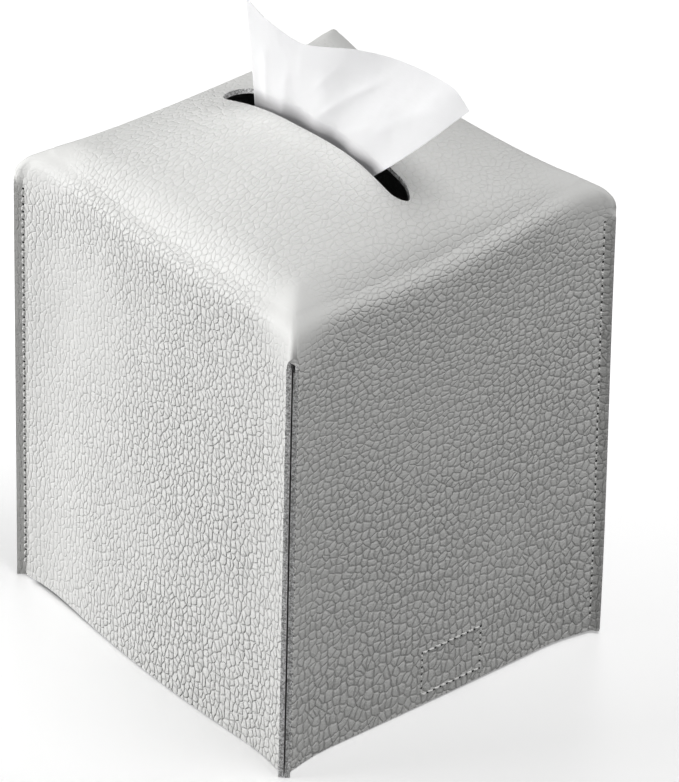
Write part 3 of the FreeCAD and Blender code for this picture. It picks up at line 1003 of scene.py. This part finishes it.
def tissue_paper():
    """Two-ply creped tissue paper: bright, matt, lets some light through, with a fine crepe."""
    material, tree = new_material("creped_tissue_paper")
    place = add(tree, "TexCoord").outputs["Object"]
    stretched = add(tree, "Mapping", {"Vector": place, "Scale": (1.0, 0.35, 1.0)})
    links = {"Vector": stretched, "Scale": 1 / (CREPE * MM), "Detail": 4.0, "Roughness": 0.6}
    crepe = add(tree, "TexNoise", links)
    tone = add(tree, "ValToRGB", {0: crepe}, [(0.2, "#f1f1f2"), (0.8, "#fbfbfb")])
    # the lips of the slot keep light from the part of the leaf beside them
    here = add(tree, "SeparateXYZ", {0: add(tree, "NewGeometry")})
    squared = add(tree, "Math", {0: here.outputs["Y"], 1: here.outputs["Y"]}, operation="MULTIPLY")
    links = {0: squared, 1: CROWN_FALL, 2: here.outputs["Z"]}
    over_lip = add(tree, "Math", links, operation="MULTIPLY_ADD")
    low, high = FOOT_SHADE
    # and a little cold painted glow brightens the leaf above it
    foot, glow = (
        add(tree, "MapRange", {0: over_lip, 1: low, 2: high, 3: start, 4: end}, **SOFT_STEP)
        for start, end in ((0.66, 0.0), (0.07, 0.2))
    )
    tone = add(tree, "Mix", {0: foot, 6: tone, 7: linear("#4c4648")}, data_type="RGBA").outputs[2]
    return surfaced(material, {
        "Base Color": tone,
        "Normal": add(tree, "Bump", {"Height": crepe, "Strength": 0.35, "Distance": 0.12 * MM}),
        "Roughness": 0.95,
        "Subsurface Weight": 0.6, "Subsurface Radius": (0.004, 0.004, 0.004), "Subsurface Scale": 1.0,
        "Emission Color": linear("#fbfbff"), "Emission Strength": glow,
    })


# Stage, in metres
FLOOR_SIZE = 8
FLOOR_GAP = 0.0002
LAMP_SIZE = 0.8
LAMP_AIM = Vector((0, 0, 0.09))


def make_floor():
    """A white floor that the camera sees glow into the white background, brighter behind the
    cover and dark under it, and that gives the leather the light of a pale room."""
    deselect()
    bpy.ops.mesh.primitive_plane_add(size=FLOOR_SIZE)
    floor = bpy.context.object
    floor.name = "studio_floor"
    floor.location.z = -FLOOR_GAP
    material, tree = new_material("white_studio_floor")
    links = {"Base Color": linear("#ededed"), "Roughness": 0.35, "IOR": 1.9}
    surface = add(tree, "BsdfPrincipled", links)
    place = add(tree, "TexCoord").outputs["Object"]
    links = {0: place, 1: (0.66, 0.75, 0)}   # away from the camera
    behind = add(tree, "VectorMath", links, operation="DOT_PRODUCT").outputs["Value"]
    links = {0: behind, 1: -0.2, 2: 0.15, 3: 0.17, 4: 0.5}
    glow = add(tree, "MapRange", links, **SOFT_STEP)
    quarter = add(tree, "VectorMath", {0: place}, operation="ABSOLUTE")
    sides = add(tree, "SeparateXYZ", {0: quarter})
    links = {0: sides.outputs["X"], 1: sides.outputs["Y"]}
    reach = add(tree, "Math", links, operation="MAXIMUM")
    links = {0: reach, 1: (HALF_WIDTH - 2) * MM, 2: (HALF_WIDTH + 1) * MM}
    outside = add(tree, "MapRange", links, **SOFT_STEP)
    strength = add(tree, "Math", {0: glow, 1: outside}, operation="MULTIPLY")
    light = add(tree, "Emission", {"Color": (1, 1, 1, 1), "Strength": strength})
    seen = add(tree, "AddShader", {0: surface, 1: light})
    dull = add(tree, "BsdfDiffuse", {"Color": linear("#b4b4b4")})
    path = add(tree, "LightPath")
    mixed = add(tree, "MixShader", {0: path.outputs["Is Camera Ray"], 1: dull, 2: seen})
    add(tree, "OutputMaterial", {"Surface": mixed})
    floor.data.materials.append(material)


def make_world():
    """A white background, which lights the cover much less than it shows."""
    world = bpy.data.worlds.new("studio")
    bpy.context.scene.world = world
    world.use_nodes = True
    tree = world.node_tree
    tree.nodes.clear()
    path = add(tree, "LightPath")
    seen = path.outputs["Is Camera Ray"]
    for ray in ("Is Glossy Ray", "Is Transmission Ray"):
        seen = add(tree, "Math", {0: seen, 1: path.outputs[ray]}, operation="MAXIMUM")
    strength = add(tree, "MapRange", {0: seen, 3: 0.12, 4: 1.0})
    ground = add(tree, "Background", {"Color": (1, 1, 1, 1), "Strength": strength})
    add(tree, "OutputWorld", {"Surface": ground})


def area_light(name, place, power):
    data = bpy.data.lights.new(name, "AREA")
    data.shape = "SQUARE"
    data.size = LAMP_SIZE
    data.energy = power
    lamp = bpy.data.objects.new(name, data)
    bpy.context.scene.collection.objects.link(lamp)
    lamp.location = place
    lamp.rotation_euler = (LAMP_AIM - Vector(place)).to_track_quat("-Z", "Y").to_euler()


# Camera, fitted to the photo's corners: angles in degrees, lengths in mm
CAMERA_AZIMUTH = -41.47
CAMERA_ELEVATION = 34.12
CAMERA_ROLL = 1.59
CAMERA_DISTANCE = 1881.0
CAMERA_SHIFT = (-8.4, 2.8)
CAMERA_FOCAL_PIXELS = 6268.0
PHOTO_HEIGHT = 782
SENSOR = 36.0


def make_camera():
    azimuth = math.radians(CAMERA_AZIMUTH)
    elevation = math.radians(CAMERA_ELEVATION)
    roll = math.radians(CAMERA_ROLL)
    level = Vector((math.sin(azimuth), -math.cos(azimuth), 0)) * math.cos(elevation)
    back = level + Vector((0, 0, math.sin(elevation)))
    right = (-back).cross(Vector((0, 0, 1))).normalized()
    up = right.cross(-back)
    rolled_right = math.cos(roll) * right + math.sin(roll) * up
    rolled_up = -math.sin(roll) * right + math.cos(roll) * up
    aside, higher = CAMERA_SHIFT
    place = Vector((0, 0, CORNER_HEIGHT / 2)) - aside * rolled_right - higher * rolled_up
    place += CAMERA_DISTANCE * back
    data = bpy.data.cameras.new("camera")
    camera = bpy.data.objects.new("camera", data)
    bpy.context.scene.collection.objects.link(camera)
    turn = Matrix((rolled_right, rolled_up, back)).transposed().to_4x4()
    camera.matrix_world = Matrix.Translation(place * MM) @ turn
    data.sensor_width = SENSOR
    data.lens = CAMERA_FOCAL_PIXELS * SENSOR / PHOTO_HEIGHT
    data.clip_start = 0.05
    data.clip_end = 50
    bpy.context.scene.camera = camera


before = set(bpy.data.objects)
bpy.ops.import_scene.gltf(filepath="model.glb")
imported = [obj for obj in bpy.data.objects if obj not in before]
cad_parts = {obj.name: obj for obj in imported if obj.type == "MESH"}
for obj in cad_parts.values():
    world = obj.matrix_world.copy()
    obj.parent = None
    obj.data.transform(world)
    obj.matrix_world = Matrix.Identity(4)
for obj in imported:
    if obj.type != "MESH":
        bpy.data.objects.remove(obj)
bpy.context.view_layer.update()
random.seed(7)
bpy.context.scene.view_settings.view_transform = "Standard"
deselect()

LEATHER_FINISH = pebbled_leather()
EDGE_FINISH = raw_edge()
SUEDE_FINISH = suede()
THREAD_FINISH = waxed_thread()
HOLE_SHADE_FINISH = needle_hole_shade()
HOOK_FINISH = nylon_tape("nylon_hook_tape", "#4c4c4c", "#8a8a8a", 0.8)
LOOP_FINISH = nylon_tape("nylon_loop_tape", "#606060", "#9a9a9a", 0.5)
TISSUE_FINISH = tissue_paper()

make_leather()
make_lining()
STITCH = one_stitch()
make_corner_threads()
make_box_stitch("front", "front_box_stitch", FRONT_BOX_LOW, STRAP_OFFSET)
# the back wall's way along runs against the front wall's
make_box_stitch("back", "back_box_stitch", BACK_BOX_LOW, -STRAP_OFFSET)
bpy.data.objects.remove(STITCH)

front_nodes = ["front_strap", "front_strap_tab"]
back_nodes = ["back_strap", "back_strap_tab"]
make_strap(-1, LOWER_LEVEL, "front_strap_leather", front_nodes)
make_strap(1, UPPER_LEVEL, "back_strap_leather", back_nodes)
hook_level = LOWER_LEVEL + STRAP_THICKNESS
loop_level = UPPER_LEVEL - TAPE_THICKNESS
make_tape(-1, hook_level, "hook_tape_patch", "lower_strap", "hook_tape", 1, HOOK_FINISH)
make_tape(1, loop_level, "loop_tape_patch", "upper_strap", "loop_tape", -1, LOOP_FINISH)
make_tissue()

make_floor()
make_world()
area_light("key", (-1.3, 0.97, 0.24), 30.5)
area_light("top", (0.12, -0.54, 1.65), 15.3)
make_camera()
